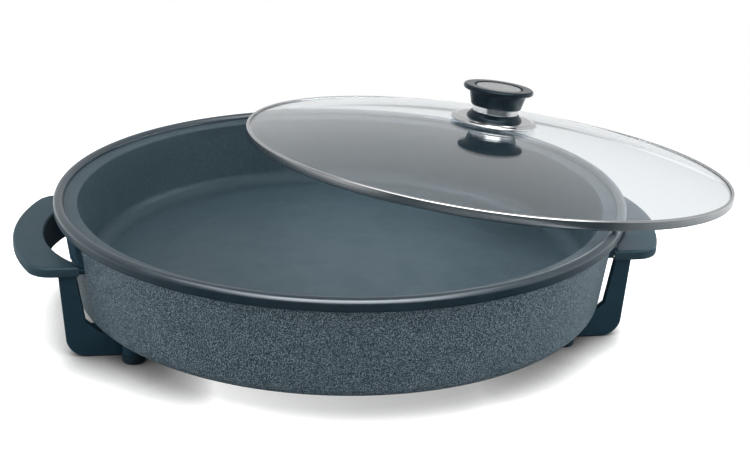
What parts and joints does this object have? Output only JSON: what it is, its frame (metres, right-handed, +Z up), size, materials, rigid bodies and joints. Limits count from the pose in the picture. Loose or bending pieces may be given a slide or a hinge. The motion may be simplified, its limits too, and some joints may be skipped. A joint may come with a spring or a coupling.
{
  "type": "electric pizza pan",
  "caption": "Deep round electric pizza pan with two loop handles on legs, a heated base and a loose domed glass lid lying askew.",
  "frame": {"origin": "where the pan's axis meets the table the feet stand on", "axes": "+Z up, +X through the two loop handles, +Y towards the rear electrical inlet"},
  "size_m": [0.5692, 0.4905, 0.1528],
  "materials": {
    "nonstick": "cast, with a smooth dark non-stick coating",
    "rim_coat": "satin slate coating",
    "hammertone": "blue-grey hammertone",
    "plate_steel": "plain sheet steel",
    "screw_steel": "zinc plated",
    "heater_tube": "heat-darkened tube",
    "ceramic": "unglazed",
    "contact": "nickel plated",
    "handle_black": "matte phenolic",
    "leg_black": "matte phenolic",
    "foot_rubber": "matte",
    "lid_glass": "clear tempered glass",
    "band_steel": "polished stainless",
    "chrome": "bright chrome",
    "knob_black": "gloss phenolic",
    "washer_clear": "translucent silicone"
  },
  "bodies": {
    "pan": {"pan_bowl": "nonstick", "rim_ring": "rim_coat", "body_shell": "hammertone", "base_cover": "plate_steel", "cover_screws": "screw_steel", "heating_element": "heater_tube", "element_clips": "plate_steel", "element_studs": "screw_steel", "inlet_insulator": "ceramic", "inlet_pins": "contact", "probe_guide": "contact", "inlet_collar": "leg_black", "collar_screws": "screw_steel", "handle_left": "handle_black", "handle_right": "handle_black", "handle_pads": "leg_black", "handle_screws": "screw_steel", "leg_front_left": "leg_black", "leg_front_right": "leg_black", "leg_rear_left": "leg_black", "leg_rear_right": "leg_black", "leg_screws": "screw_steel", "foot_front_left": "foot_rubber", "foot_front_right": "foot_rubber", "foot_rear_left": "foot_rubber", "foot_rear_right": "foot_rubber", "foot_screws": "screw_steel"},
    "lid": {"lid_glass": "lid_glass", "lid_band": "band_steel", "lid_washer_upper": "washer_clear", "knob_flange": "chrome", "knob_skirt": "knob_black", "knob_neck": "chrome", "knob_grip": "knob_black", "knob_disc": "chrome", "lid_washer_lower": "foot_rubber", "knob_screw": "screw_steel"}
  },
  "joints": [
    {"name": "lid_lift", "type": "slide", "parent": "pan", "child": "lid", "axis": [0, 0, 1], "range_m": [0, 0.2]}
  ]
}
